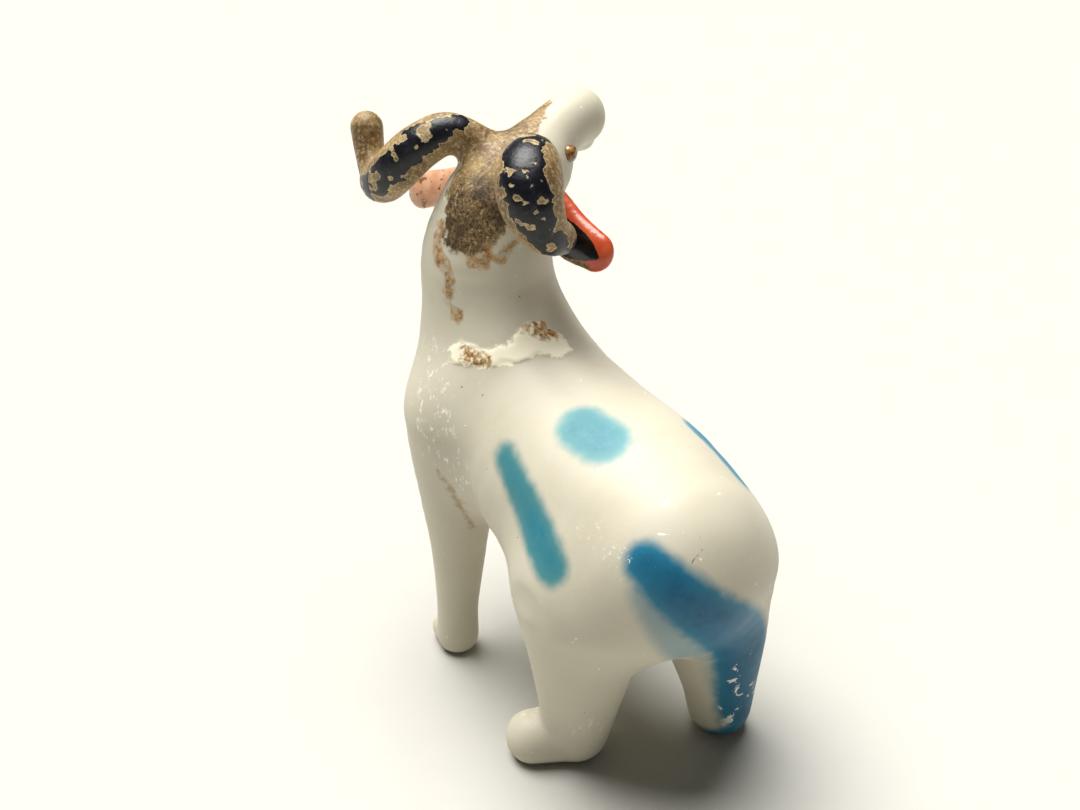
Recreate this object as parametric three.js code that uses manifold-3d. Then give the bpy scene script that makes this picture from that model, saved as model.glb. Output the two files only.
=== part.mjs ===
// Lampworked glass ram standing on four feet, its head turned to its right.
// Millimetres, +Z up. The animal's body faces -Y and its left side is +X.
import * as THREE from 'three';
import { mergeVertices } from 'three/addons/utils/BufferGeometryUtils.js';
import Module from 'manifold-3d';

const wasm = await Module();
wasm.setup();

// ---- driving dimensions (mm) ----
const GAP = 0.3;                      // clearance between neighbouring pieces of glass
const ORIGIN = [-1.0, -6.94];         // centre of the footprint box in the modelling plane
const HEAD_AT = [-2.6, -21.4, 65.9];  // middle of the skull
const HEAD_TURN = 70;                 // degrees to the animal's right
const HEAD_LIFT = 5;                  // degrees nose-up
const EYE_AT = [6.6, 4.6, 2.3];       // on the head, mirrored for the right eye
const EYE_R = 1.15;
const EAR_THIN = 0.5;                 // ear thickness over ear width
const SPOT_THIN = 0.45;               // depth over width of the spot on the back
const SPOT_FACE = [0.28, 0.2, 1];     // outward direction at the spot on the back
const FLOOR_SIZE = 200;
const FLOOR_DEPTH = 50;

// Stations along each gather of glass: x, y, z, radius.
const BODY = [
  [-0.5, 17.2, 31.8, 12.6], [-0.7, 9, 32.4, 14.0], [0, -1, 33.7, 13.7], [0.4, -10, 37.2, 12.0],
  [1.0, -17.5, 41.4, 10.7],
];
const NECK = [[1.2, -18.5, 43, 9.4], [1.1, -20.8, 49, 9.1], [0.9, -22.0, 56, 8.5],
  [-0.3, -21.8, 62.5, 7.0]];
const LEGS = {
  front_left_leg: {
    leg: [
      [8.8, -16, 37, 7.6], [10.0, -15.2, 27, 5.6], [10.8, -14.2, 17, 3.9], [11.8, -13.3, 8, 3.0],
  [12.1, -13.1, 2.3, 3.1],
    ],
    toe: [[12.1, -13.2, 2.2, 2.8], [12.3, -15.6, 1.9, 2.4]],
  },
  front_right_leg: {
    leg: [
      [-7.6, -15.8, 35.5, 6.9], [-9.2, -14.9, 26, 5.4], [-10.0, -14.3, 17, 3.9],
      [-10.4, -14, 8, 3.0], [-10.5, -13.9, 2.3, 3.1],
    ],
    toe: [[-10.5, -14.0, 2.2, 2.8], [-11.2, -16.6, 1.9, 2.5]],
  },
  hind_left_leg: {
    leg: [[8.0, 13, 25.5, 8.5], [8.2, 13.2, 16.5, 6.8], [8.5, 13.0, 9, 5.3], [8.9, 12.8, 3.6, 4.4]],
    toe: [[9.4, 12.6, 3.0, 3.8], [14.0, 10.4, 2.8, 3.6]],
  },
  hind_right_leg: {
    leg: [[-8.7, 15.4, 25.8, 8.9], [-9.6, 17.4, 15.8, 6.8], [-10.0, 18.5, 8.5, 5.1],
  [-10.1, 19.0, 3.6, 4.3]],
    toe: [[-10.3, 18.6, 3.0, 3.8], [-12.0, 15.8, 2.8, 3.5]],
  },
};

// Stations on the head: forward, to the animal's left, up, radius.
const SKULL = [[-0.6, 0.9, -0.1, 5.4], [3, 0, 0, 5.7], [7.0, 0, 1.9, 4.3], [10.8, 0, 3.0, 3.75],
  [14.2, 0, 3.2, 3.9]];
const LOWER_LIP = [[12.6, 0, 0.8, 2.1], [15.0, 0, -0.1, 1.9]];
const HORN_LEFT = [
  [0.5, 3.5, 2.4, 2.4], [-1.2, 5.1, 5.0, 2.4], [-3.4, 7.6, 6.2, 2.7], [-5.9, 10.2, 4.6, 3.0],
  [-7.6, 12.9, 1.6, 3.1],
  [-7.4, 15.8, -1.2, 2.85], [-5.3, 18.9, -1.8, 2.3], [-3.9, 21.2, 0.3, 2.0], [-3.0, 22.1, 3.1, 2.2],
];
const HORN_RIGHT = [
  [0.3, -2.8, 3.2, 2.6], [-3.2, -6.3, 5.9, 3.4], [-6.2, -8.2, 5.5, 4.2],
  [-7.8, -9.8, 3.3, 3.9], [-7.2, -11.2, -0.2, 2.9], [-5.0, -11.3, -2.2, 2.3],
];
const EAR_LEFT = [[1.6, 4.6, -0.6, 1.7], [1.2, 8.6, -2.6, 2.0], [0.8, 12.1, -4.6, 2.4],
  [0.0, 15.8, -5.9, 2.6]];
const EAR_RIGHT = [[1.6, -3.6, -0.2, 1.7], [1.2, -6.1, -2.3, 2.3], [0.1, -9.2, -4.9, 3.1],
  [-0.3, -13.5, -6.0, 2.6]];

// Blue glass melted into the surface: x, y, z, half-width.
const SPOT_BACK = [[4.4, 6.4, 46.6, 3.5], [3.7, 9.6, 46.2, 3.6]];
const STREAK_FLANK = [[12.7, 0.4, 41.3, 2.3], [13.3, 4.6, 39.2, 2.6], [13.6, 10.6, 36.2, 2.8],
  [13.2, 14.4, 33.8, 2.6]];
const PATCH_FLANK = [[-10.8, 10.4, 42.1, 2.6], [-11.9, 15.4, 38.6, 2.9]];
const STREAK_RUMP = [
  [7.0, 24.2, 38.3, 2.7], [4.2, 27.6, 34.5, 3.4], [-1.9, 28.4, 27.8, 4.0],
  [-8.9, 25.6, 17.8, 4.9], [-11.0, 23.4, 9.0, 4.6], [-11.2, 21.2, 4.6, 3.7],
];

const COLOURS = { white: 0xeeece2, blue: 0x2f93c4, sky: 0x7cc3dc, orange: 0xd2602f, amber: 0x7a4f26, tan: 0x96805a };
const GLASS_ROUGHNESS = 0.35;

// ---- the head's own axes ----
const turn = THREE.MathUtils.degToRad(HEAD_TURN);
const lift = THREE.MathUtils.degToRad(HEAD_LIFT);
const headForward = new THREE.Vector3(-Math.sin(turn) * Math.cos(lift), -Math.cos(turn) * Math.cos(lift), Math.sin(lift));
const headLeft = new THREE.Vector3(Math.cos(turn), -Math.sin(turn), 0);
const headUp = new THREE.Vector3().crossVectors(headForward, headLeft);

function headDirection(forward, left, up) {
  return new THREE.Vector3().addScaledVector(headForward, forward).addScaledVector(headLeft, left).addScaledVector(headUp, up);
}
const headPoint = (forward, left, up) => headDirection(forward, left, up).add(new THREE.Vector3(...HEAD_AT));
const onHead = (stations) => stations.map(([f, l, u, r]) => [...headPoint(f, l, u).toArray(), r]);

// The ear's broad side looks back and up.
const earFace = (side) => headDirection(-0.9, 0.15 * side, 0.45).normalize().toArray();

// ---- solids ----
function manifold(position, index) {
  return new wasm.Manifold(new wasm.Mesh({
    numProp: 3,
    vertProperties: new Float32Array(position),
    triVerts: new Uint32Array(index),
  }));
}

function solid(geometry) {
  const bare = geometry.clone();
  bare.deleteAttribute('normal');
  bare.deleteAttribute('uv');
  const merged = mergeVertices(bare, 1e-4);
  const position = merged.attributes.position.array;
  const index = Array.from(merged.index.array);
  const body = manifold(position, index);
  return body.volume() > 0 ? body : manifold(position, index.reverse());
}

// A closed gather swept along its stations with rounded ends. `flat` thins it along the
// direction `face`, and `grow` enlarges it all round.
function gather(stations, { around, rings, cap, flat = 1, face = [0, 0, 1], grow = 0 }) {
  const path = new THREE.CatmullRomCurve3(stations.map((s) => new THREE.Vector3(s[0], s[1], s[2])));
  const size = new THREE.CatmullRomCurve3(stations.map((s) => new THREE.Vector3(s[3], 0, 0)), false, 'catmullrom', 0.5);
  const rows = rings + 2 * cap;
  const geometry = new THREE.SphereGeometry(1, around, rows);
  const position = geometry.attributes.position;
  const normal = new THREE.Vector3(...face);
  const at = new THREE.Vector3();
  const along = new THREE.Vector3();
  const side = new THREE.Vector3();
  const thin = new THREE.Vector3();
  const before = new THREE.Vector3();
  for (let row = 0; row <= rows; row++) {
    const t = path.getUtoTmapping(THREE.MathUtils.clamp((row - cap) / rings, 0, 1));
    path.getPoint(t, at);
    path.getTangent(t, along);
    if (row === 0 || flat !== 1) side.crossVectors(along, normal).normalize();
    else side.copy(before).addScaledVector(along, -before.dot(along)).normalize();
    if (row > 0 && side.dot(before) < 0) side.negate();
    before.copy(side);
    thin.crossVectors(side, along).normalize();

    const toPole = Math.min(row, rows - row, cap) / cap * Math.PI / 2;
    const ring = Math.sin(toPole);
    const bulge = Math.cos(toPole) * (row < cap ? -1 : 1);
    const wide = size.getPoint(t).x + grow;
    const deep = size.getPoint(t).x * flat + grow;
    for (let col = 0; col <= around; col++) {
      const angle = (2 * Math.PI * (col % around)) / around;
      const point = at.clone()
        .addScaledVector(side, Math.cos(angle) * wide * ring)
        .addScaledVector(thin, Math.sin(angle) * deep * ring)
        .addScaledVector(along, bulge * (wide + deep) / 2);
      position.setXYZ(row * (around + 1) + col, point.x, point.y, point.z);
    }
  }
  return solid(geometry);
}

function leg(name, grow) {
  const rod = gather(LEGS[name].leg, { around: 18, rings: 9, cap: 4, grow });
  const toe = gather(LEGS[name].toe, { around: 14, rings: 2, cap: 3, grow });
  return rod.add(toe);
}

function eye(side, grow) {
  const centre = headPoint(EYE_AT[0], side * EYE_AT[1], EYE_AT[2]);
  return solid(new THREE.SphereGeometry(EYE_R + grow, 12, 8).translate(centre.x, centre.y, centre.z));
}

function ear(stations, side, grow) {
  return gather(onHead(stations), { around: 14, rings: 6, cap: 3, flat: EAR_THIN, face: earFace(side), grow });
}

// Every gather by name, enlarged by `grow`.
const gathers = {
  left_eye: (grow) => eye(1, grow),
  right_eye: (grow) => eye(-1, grow),
  head: (grow) => gather(onHead(SKULL), { around: 20, rings: 9, cap: 4, grow }),
  body: (grow) => gather(BODY, { around: 26, rings: 11, cap: 5, grow }),
  neck: (grow) => gather(NECK, { around: 22, rings: 7, cap: 4, grow }),
  lower_lip: (grow) => gather(onHead(LOWER_LIP), { around: 14, rings: 2, cap: 3, grow }),
  front_left_leg: (grow) => leg('front_left_leg', grow),
  front_right_leg: (grow) => leg('front_right_leg', grow),
  hind_left_leg: (grow) => leg('hind_left_leg', grow),
  hind_right_leg: (grow) => leg('hind_right_leg', grow),
  left_horn: (grow) => gather(onHead(HORN_LEFT), { around: 12, rings: 26, cap: 3, grow }),
  right_horn: (grow) => gather(onHead(HORN_RIGHT), { around: 14, rings: 15, cap: 3, grow }),
  left_ear: (grow) => ear(EAR_LEFT, 1, grow),
  right_ear: (grow) => ear(EAR_RIGHT, -1, grow),
};

// The pieces that each piece is cut back from, so that neighbours never touch.
const cutBackFrom = {
  head: ['left_eye', 'right_eye'],
  neck: ['body', 'head'],
  lower_lip: ['head'],
  front_left_leg: ['body', 'neck'],
  front_right_leg: ['body', 'neck', 'front_left_leg'],
  hind_left_leg: ['body'],
  hind_right_leg: ['body', 'hind_left_leg'],
  left_horn: ['head', 'neck'],
  right_horn: ['head', 'neck', 'left_horn'],
  left_ear: ['head', 'neck', 'left_horn'],
  right_ear: ['head', 'neck', 'right_horn'],
};

// Blue glass lies flush in its hosts, in a pocket that leaves the gap round it.
const inlays = {
  blue_spot_back: {
    hosts: ['body'],
    shape: (grow) => gather(SPOT_BACK, { around: 16, rings: 2, cap: 3, flat: SPOT_THIN, face: SPOT_FACE, grow }),
  },
  blue_streak_left_flank: {
    hosts: ['body'],
    shape: (grow) => gather(STREAK_FLANK, { around: 12, rings: 7, cap: 3, grow }),
  },
  blue_patch_right_flank: {
    hosts: ['body'],
    shape: (grow) => gather(PATCH_FLANK, { around: 12, rings: 3, cap: 3, grow }),
  },
  blue_streak_rump: {
    hosts: ['body', 'hind_right_leg'],
    shape: (grow) => gather(STREAK_RUMP, { around: 14, rings: 12, cap: 3, grow }),
  },
};

const colourOf = {
  left_eye: 'amber',
  right_eye: 'amber',
  left_horn: 'tan',
  right_horn: 'tan',
  left_ear: 'orange',
  right_ear: 'orange',
  blue_spot_back: 'sky',
  blue_streak_left_flank: 'blue',
  blue_patch_right_flank: 'blue',
  blue_streak_rump: 'blue',
};

// ---- assembly ----
function largestPart(body) {
  return body.decompose().reduce((a, b) => (b.volume() > a.volume() ? b : a));
}

function namedMesh(name, body) {
  const out = largestPart(body).translate([-ORIGIN[0], -ORIGIN[1], 0]).getMesh();
  const geometry = new THREE.BufferGeometry();
  geometry.setAttribute('position', new THREE.BufferAttribute(new Float32Array(out.vertProperties), 3));
  geometry.setIndex(new THREE.BufferAttribute(new Uint32Array(out.triVerts), 1));
  geometry.computeVertexNormals();
  const colour = COLOURS[colourOf[name] ?? 'white'];
  const mesh = new THREE.Mesh(geometry, new THREE.MeshStandardMaterial({ color: colour, roughness: GLASS_ROUGHNESS }));
  mesh.name = name;
  return mesh;
}

const floor = solid(new THREE.BoxGeometry(FLOOR_SIZE, FLOOR_SIZE, FLOOR_DEPTH).translate(0, 0, -FLOOR_DEPTH / 2));
const ram = new THREE.Group();
ram.name = 'glass_ram';

for (const [name, make] of Object.entries(gathers)) {
  let piece = make(0).subtract(floor);
  for (const neighbour of cutBackFrom[name] ?? []) piece = piece.subtract(gathers[neighbour](GAP));
  for (const inlay of Object.values(inlays)) {
    if (inlay.hosts.includes(name)) piece = piece.subtract(inlay.shape(GAP));
  }
  ram.add(namedMesh(name, piece));
}

for (const [name, { hosts, shape }] of Object.entries(inlays)) {
  const glass = hosts.map((host) => gathers[host](0)).reduce((a, b) => a.add(b));
  ram.add(namedMesh(name, shape(0).intersect(glass).subtract(floor)));
}

export default ram;
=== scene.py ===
"""Looks for a lampworked glass ram: one melted skin of glass, divided into its gathers."""
import math

import bpy
import bmesh
import numpy as np
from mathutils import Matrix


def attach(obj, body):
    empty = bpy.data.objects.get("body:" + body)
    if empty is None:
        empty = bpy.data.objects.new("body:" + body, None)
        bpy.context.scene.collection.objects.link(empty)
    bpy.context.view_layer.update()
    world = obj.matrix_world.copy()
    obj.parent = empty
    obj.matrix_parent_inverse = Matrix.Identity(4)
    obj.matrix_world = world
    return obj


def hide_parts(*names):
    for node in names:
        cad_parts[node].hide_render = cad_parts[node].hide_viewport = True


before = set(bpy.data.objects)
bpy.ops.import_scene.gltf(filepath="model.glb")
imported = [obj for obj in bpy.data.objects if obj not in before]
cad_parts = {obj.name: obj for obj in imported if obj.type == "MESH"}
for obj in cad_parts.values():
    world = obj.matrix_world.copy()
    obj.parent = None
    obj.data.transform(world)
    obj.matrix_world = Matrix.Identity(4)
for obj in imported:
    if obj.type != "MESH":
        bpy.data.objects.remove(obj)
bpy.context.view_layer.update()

import openvdb
from mathutils import Vector, kdtree, noise

MM = 0.001

# ---------------------------------------------------------------- camera
CAMERA_AZIMUTH = 148.0
CAMERA_ELEVATION = 33.0
CAMERA_DISTANCE = 0.200
CAMERA_TARGET = Vector((0.0005, -0.00406, 0.0380))     # about the middle of the ram
CAMERA_LENS = 50.0
SENSOR_WIDTH = 36.0
CLIP_START = 0.01


def add_camera():
    data = bpy.data.cameras.new("camera")
    data.lens = CAMERA_LENS
    data.sensor_width = SENSOR_WIDTH
    data.clip_start = CLIP_START
    camera = bpy.data.objects.new("camera", data)
    azimuth, elevation = math.radians(CAMERA_AZIMUTH), math.radians(CAMERA_ELEVATION)
    back = Vector((math.sin(azimuth) * math.cos(elevation),
                   -math.cos(azimuth) * math.cos(elevation),
                   math.sin(elevation)))
    camera.location = CAMERA_TARGET + back * CAMERA_DISTANCE
    camera.rotation_euler = back.to_track_quat("Z", "Y").to_euler()
    bpy.context.scene.collection.objects.link(camera)
    bpy.context.scene.camera = camera


add_camera()

# ---------------------------------------------------------------- the gathers of glass (mm)
# The same stations as the CAD: x, y, z, radius, about the footprint's centre.
ORIGIN = np.array([-1.0, -6.94, 0.0, 0.0])
HEAD_AT = np.array([-2.6, -21.4, 65.9])
HEAD_TURN = math.radians(70)
HEAD_LIFT = math.radians(5)
EAR_THIN = 0.5            # an ear's thickness, as a share of its width
EYE = (6.6, 4.6, 2.3)     # forward, to its own side, up
EYE_R = 1.15
EYE_BUMPS = 0.05          # as a share of the bead's radius
EYE_BUMP_SIZE = 1 / 1.3
EYE_FLATTENING = 0.2

BODY_STATIONS = {
    "body": [(-0.5, 17.2, 31.8, 12.6), (-0.7, 9, 32.4, 14.0), (0, -1, 33.7, 13.7), (0.4, -10, 37.2, 12.0),
             (1.0, -17.5, 41.4, 10.7)],
    "neck": [(1.2, -18.5, 43, 9.4), (1.1, -20.8, 49, 9.1), (0.9, -22.0, 56, 8.5), (-0.3, -21.8, 62.5, 7.0)],
    "front_left_leg": [(8.8, -16, 37, 7.6), (10.0, -15.2, 27, 5.6), (10.8, -14.2, 17, 3.9),
                       (11.8, -13.3, 8, 3.0), (12.1, -13.1, 2.3, 3.1)],
    "front_right_leg": [(-7.6, -15.8, 35.5, 6.9), (-9.2, -14.9, 26, 5.4), (-10.0, -14.3, 17, 3.9),
                        (-10.4, -14, 8, 3.0), (-10.5, -13.9, 2.3, 3.1)],
    "hind_left_leg": [(8.0, 13, 25.5, 8.5), (8.2, 13.2, 16.5, 6.8), (8.5, 13.0, 9, 5.3),
                      (8.9, 12.8, 3.6, 4.4)],
    "hind_right_leg": [(-8.7, 15.4, 25.8, 8.9), (-9.6, 17.4, 15.8, 6.8), (-10.0, 18.5, 8.5, 5.1),
                       (-10.1, 19.0, 3.6, 4.3)],
}
TOE_STATIONS = {
    "front_left_leg": [(12.1, -13.2, 2.2, 2.8), (12.3, -15.6, 1.9, 2.4)],
    "front_right_leg": [(-10.5, -14.0, 2.2, 2.8), (-11.2, -16.6, 1.9, 2.5)],
    "hind_left_leg": [(9.4, 12.6, 3.0, 3.8), (14.0, 10.4, 2.8, 3.6)],
    "hind_right_leg": [(-10.3, 18.6, 3.0, 3.8), (-12.0, 15.8, 2.8, 3.5)],
}
# On the head: forward, to the animal's left, up, radius.
HEAD_STATIONS = {
    "head": [(-0.6, 0.9, -0.1, 5.4), (3, 0, 0, 5.7), (7.0, 0, 1.9, 4.3), (10.8, 0, 3.0, 3.75),
             (14.2, 0, 3.2, 3.9)],
    "lower_lip": [(12.6, 0, 0.8, 2.1), (15.0, 0, -0.1, 1.9)],
    "left_horn": [(0.5, 3.5, 2.4, 2.4), (-1.2, 5.1, 5.0, 2.4), (-3.4, 7.6, 6.2, 2.7),
                  (-5.9, 10.2, 4.6, 3.0), (-7.6, 12.9, 1.6, 3.1), (-7.4, 15.8, -1.2, 2.85),
                  (-5.3, 18.9, -1.8, 2.3), (-3.9, 21.2, 0.3, 2.0), (-3.0, 22.1, 3.1, 2.2)],
    "right_horn": [(0.3, -2.8, 3.2, 2.6), (-3.2, -6.3, 5.9, 3.4), (-6.2, -8.2, 5.5, 4.2),
                   (-7.8, -9.8, 3.3, 3.9), (-7.2, -11.2, -0.2, 2.9), (-5.0, -11.3, -2.2, 2.3)],
    "left_ear": [(1.6, 4.6, -0.6, 1.7), (1.2, 8.6, -2.6, 2.0), (0.8, 12.1, -4.6, 2.4),
                 (0.0, 15.8, -5.9, 2.6)],
    "right_ear": [(1.6, -3.6, -0.2, 1.7), (1.2, -6.1, -2.3, 2.3), (0.1, -9.2, -4.9, 3.1),
                  (-0.3, -13.5, -6.0, 2.6)],
}
INK_STATIONS = {
    "blue_spot_back": [(4.4, 6.4, 46.6, 3.5), (3.7, 9.6, 46.2, 3.6)],
    "blue_streak_left_flank": [(12.7, 0.4, 41.3, 2.3), (13.3, 4.6, 39.2, 2.6), (13.6, 10.6, 36.2, 2.8),
                               (13.2, 14.4, 33.8, 2.6)],
    "blue_patch_right_flank": [(-10.8, 10.4, 42.1, 2.6), (-11.9, 15.4, 38.6, 2.9)],
    "blue_streak_rump": [(7.0, 24.2, 38.3, 2.7), (4.2, 27.6, 34.5, 3.4), (-1.9, 28.4, 27.8, 4.0),
                         (-8.9, 25.6, 17.8, 4.9), (-11.0, 23.4, 9.0, 4.6), (-11.2, 21.2, 4.6, 3.7)],
}

HEAD_FORWARD = np.array([-math.sin(HEAD_TURN) * math.cos(HEAD_LIFT),
                         -math.cos(HEAD_TURN) * math.cos(HEAD_LIFT),
                         math.sin(HEAD_LIFT)])
HEAD_LEFT = np.array([math.cos(HEAD_TURN), -math.sin(HEAD_TURN), 0.0])
HEAD_UP = np.cross(HEAD_FORWARD, HEAD_LEFT)


def head_point(forward, left, up):
    """A place on the head, about the footprint's centre."""
    return HEAD_AT + forward * HEAD_FORWARD + left * HEAD_LEFT + up * HEAD_UP - ORIGIN[:3]


def on_body(stations):
    return np.array(stations, float) - ORIGIN


def on_head(stations):
    return np.array([(*head_point(*s[:3]), s[3]) for s in stations])


def chain(stations, steps):
    """Points and radii along a Catmull-Rom curve through the stations, steps to a span."""
    s = np.vstack([2 * stations[0] - stations[1], stations, 2 * stations[-1] - stations[-2]])
    knots = []
    for i in range(1, len(s) - 2):
        p0, p1, p2, p3 = s[i - 1:i + 3]
        for t in np.arange(steps) / steps:
            knots.append(0.5 * (2 * p1 + (p2 - p0) * t + (2 * p0 - 5 * p1 + 4 * p2 - p3) * t ** 2
                                + (3 * p1 - p0 - 3 * p2 + p3) * t ** 3))
    return np.array(knots + [s[-2]], np.float32)


def ear_flattening(stations, side):
    """The direction an ear is thin in, and the point it is flattened about."""
    face = -0.9 * HEAD_FORWARD + 0.15 * side * HEAD_LEFT + 0.45 * HEAD_UP
    along = stations[-1, :3] - stations[0, :3]
    thin = face - along * (face @ along) / (along @ along)
    return thin / np.linalg.norm(thin), stations[1, :3]


class Gather:
    """One swept gather of glass, as a signed distance (mm) that is negative inside."""

    def __init__(self, *chains, thin=None, about=None, squash=1.0):
        self.chains = chains
        self.thin, self.about, self.squash = thin, about, squash

    def _stretch(self, x, y, z):
        if self.thin is None:
            return x, y, z
        n, c = self.thin, self.about
        out = ((x - c[0]) * n[0] + (y - c[1]) * n[1] + (z - c[2]) * n[2]) * (1 / self.squash - 1)
        return x + n[0] * out, y + n[1] * out, z + n[2] * out

    def distance(self, x, y, z):
        x, y, z = self._stretch(x, y, z)
        best = None
        for knots in self.chains:
            ends = knots
            if self.thin is not None:
                ends = np.column_stack([*self._stretch(*knots[:, :3].T), knots[:, 3]])
            for a, b in zip(ends[:-1], ends[1:]):
                ux, uy, uz, grow = b - a
                reach = ux * ux + uy * uy + uz * uz
                px, py, pz = x - a[0], y - a[1], z - a[2]
                t = np.clip((px * ux + py * uy + pz * uz) / reach, 0, 1)
                d = np.sqrt((px - t * ux) ** 2 + (py - t * uy) ** 2 + (pz - t * uz) ** 2) - a[3] - t * grow
                best = d if best is None else np.minimum(best, d)
        if self.thin is None:
            return best
        # The squash makes distances across the gather too long, so all are scaled to half way.
        return best * (1 + self.squash) / 2

    def box(self):
        knots = np.vstack(self.chains)
        return (knots[:, :3] - knots[:, 3:]).min(0), (knots[:, :3] + knots[:, 3:]).max(0)


def make_gathers():
    gathers = {}
    for name, stations in BODY_STATIONS.items():
        chains = [chain(on_body(stations), 4)]
        if name in TOE_STATIONS:
            chains.append(chain(on_body(TOE_STATIONS[name]), 3))
        gathers[name] = Gather(*chains)
    for name, stations in HEAD_STATIONS.items():
        stations = on_head(stations)
        if name.endswith("ear"):
            thin, about = ear_flattening(stations, 1 if name == "left_ear" else -1)
            gathers[name] = Gather(chain(stations, 4), thin=thin, about=about, squash=EAR_THIN)
        else:
            gathers[name] = Gather(chain(stations, 5 if "horn" in name else 4))
    return gathers


GATHERS = make_gathers()
INKS = {name: Gather(chain(on_body(stations), 4)) for name, stations in INK_STATIONS.items()}

# ---------------------------------------------------------------- the melted skin
VOXEL = 0.30
MARGIN = 1.5
FAR = 50.0                # the distance taken to stand for open air
SOLE_EDGE = 0.5           # how softly the soles are cut flat
SETTLE_ROUNDS = 3
RELAX_SHARE = 0.5         # how far one round of smoothing moves a point towards its neighbours
GRADIENT_REACH = 0.75     # as a share of a voxel
SOFTENING = 14            # rounds of smoothing that melt the joins between stations away, below the head
HEAD_BASE = 56.0
HEAD_BLEND = 4.0
# How widely each gather melts into what was there before it, in the order they are fused.
MELT = [("body", 0.0), ("hind_left_leg", 7.0), ("hind_right_leg", 7.0), ("neck", 4.5),
        ("front_left_leg", 5.0), ("front_right_leg", 5.0), ("head", 1.2), ("lower_lip", 0.5),
        ("left_horn", 2.4), ("right_horn", 0.8), ("left_ear", 0.6), ("right_ear", 0.6)]


def melt(a, b, width):
    """Smooth union of two distances."""
    if width == 0:
        return np.minimum(a, b)
    h = np.maximum(width - np.abs(a - b), 0) / width
    return np.minimum(a, b) - h * h * width / 4


def skin_field():
    low = np.min([g.box()[0] for g in GATHERS.values()], axis=0) - MARGIN
    high = np.max([g.box()[1] for g in GATHERS.values()], axis=0) + MARGIN
    low[2] = -MARGIN
    count = np.ceil((high - low) / VOXEL).astype(int) + 1
    axes = [(low[i] + VOXEL * np.arange(count[i])).astype(np.float32) for i in range(3)]
    field = np.full(count, FAR, np.float32)
    for name, width in MELT:
        reach = width + 3 * VOXEL + 1.0
        lo, hi = GATHERS[name].box()
        first = np.maximum(((lo - reach - low) / VOXEL).astype(int), 0)
        last = np.minimum(((hi + reach - low) / VOXEL).astype(int) + 2, count)
        cut = tuple(slice(f, l) for f, l in zip(first, last))
        x, y, z = np.ix_(*(axis[part] for axis, part in zip(axes, cut)))
        field[cut] = melt(field[cut], GATHERS[name].distance(x, y, z).astype(np.float32), width)
    sole = (-axes[2])[None, None, :]
    return melt_cut(field, sole, SOLE_EDGE), low


def melt_cut(a, b, width):
    """Smooth intersection: keeps a where b is negative too."""
    return -melt(-a, -np.broadcast_to(b, a.shape), width)


class Skin:
    """The closed quad mesh of the melted glass, with its outward normals."""

    def __init__(self):
        self.field, self.low = skin_field()
        grid = openvdb.FloatGrid(FAR)
        grid.copyFromArray(self.field)
        points, quads = grid.convertToQuads(0.0)
        self.points = points.astype(np.float64) * VOXEL + self.low
        self.quads = quads.astype(np.int64)
        for _ in range(SETTLE_ROUNDS):
            self.relax(RELAX_SHARE)
            self.settle()
        low_down = np.clip((HEAD_BASE - self.points[:, 2:]) / HEAD_BLEND, 0, 1)
        for _ in range(SOFTENING):
            self.relax(RELAX_SHARE * low_down)
        self.relax(RELAX_SHARE)
        self.find_normals()
        if self.volume() < 0:
            self.quads = self.quads[:, ::-1].copy()
            self.normals = -self.normals

    def sample(self, p):
        """The distance field at these points."""
        g = (p - self.low) / VOXEL
        g = np.clip(g, 0, np.array(self.field.shape) - 1.001)
        i = g.astype(int)
        f = g - i
        value = 0
        for dx in (0, 1):
            for dy in (0, 1):
                for dz in (0, 1):
                    weight = np.abs(1 - np.array((dx, dy, dz)) - f).prod(1)
                    value = value + weight * self.field[i[:, 0] + dx, i[:, 1] + dy, i[:, 2] + dz]
        return value

    def gradient(self, p):
        reach = VOXEL * GRADIENT_REACH
        steps = np.eye(3) * reach
        return np.stack([self.sample(p + s) - self.sample(p - s) for s in steps], 1) / (2 * reach)

    def settle(self):
        """Moves the points onto the surface."""
        g = self.gradient(self.points)
        size = np.maximum((g * g).sum(1), 0.05)
        self.points -= g * (self.sample(self.points) / size)[:, None]

    def gathered(self, values):
        """Sums, at each point, one value from each corner that meets there."""
        corners = self.quads.ravel()
        parts = np.moveaxis(values, -1, 0)
        return np.stack([np.bincount(corners, part.ravel(), len(self.points)) for part in parts], 1)

    def relax(self, amount):
        """Moves each point towards the middle of its neighbours."""
        corner = self.points[self.quads]
        total = self.gathered(np.roll(corner, 1, 1) + np.roll(corner, -1, 1))
        count = 2 * np.bincount(self.quads.ravel(), minlength=len(self.points))
        self.points += amount * (total / count[:, None] - self.points)

    def face_crosses(self):
        corner = self.points[self.quads]
        return np.cross(corner[:, 2] - corner[:, 0], corner[:, 3] - corner[:, 1])

    def find_normals(self):
        total = self.gathered(np.repeat(self.face_crosses()[:, None], 4, 1))
        self.normals = total / np.linalg.norm(total, axis=1)[:, None]

    def volume(self):
        return np.einsum("ij,ij->", self.face_crosses(), self.points[self.quads].mean(1))

    def lift(self, height):
        """Raises the surface along its normals."""
        self.points = self.points + self.normals * height[:, None]
        self.find_normals()


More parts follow.
